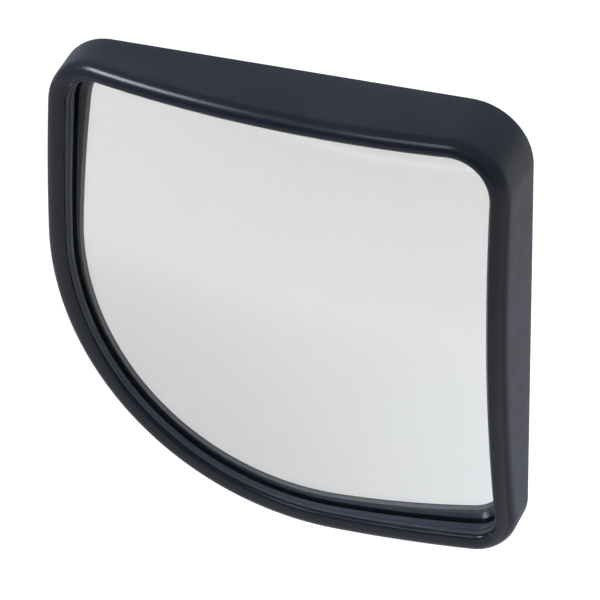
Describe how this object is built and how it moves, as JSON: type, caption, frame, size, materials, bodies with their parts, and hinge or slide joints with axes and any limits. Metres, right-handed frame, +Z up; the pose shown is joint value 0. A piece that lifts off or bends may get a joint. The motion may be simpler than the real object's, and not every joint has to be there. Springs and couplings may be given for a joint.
{
  "type": "stick-on wedge convex mirror",
  "caption": "Convex mirror glass in a wedge-shaped black housing with a rolled rim and one large rounded corner, on a foam tape that sticks to a flat surface.",
  "frame": {"origin": "centre of the outline's box on the rear face of the release liner, where the mirror meets the surface it sticks to", "axes": "+Z up and +X to the right for someone looking into the mirror; the mirror looks along -Y and +Y points into the surface it sticks to"},
  "size_m": [0.0826, 0.0179, 0.084],
  "materials": {
    "black_housing": "satin",
    "clear_glass": "polished",
    "mirror_coating": "polished",
    "backing_paint": "matte",
    "cushion_foam": "matte",
    "black_cover": "matte",
    "clear_glue": "gloss",
    "tape_adhesive": "gloss",
    "tape_foam": "matte",
    "liner_paper": "satin"
  },
  "bodies": {
    "mirror": {"front_housing": "black_housing", "mirror_glass": "clear_glass", "reflective_coating": "mirror_coating", "backing_paint": "backing_paint", "glass_cushion": "cushion_foam", "rear_cover": "black_cover", "cover_glue_bead": "clear_glue", "front_adhesive_layer": "tape_adhesive", "foam_tape_core": "tape_foam", "rear_adhesive_layer": "tape_adhesive"},
    "liner": {"release_liner": "liner_paper"}
  },
  "joints": [
    {"name": "liner_peel", "type": "slide", "parent": "mirror", "child": "liner", "axis": [0, 1, 0], "range_m": [0, 0.03]}
  ]
}
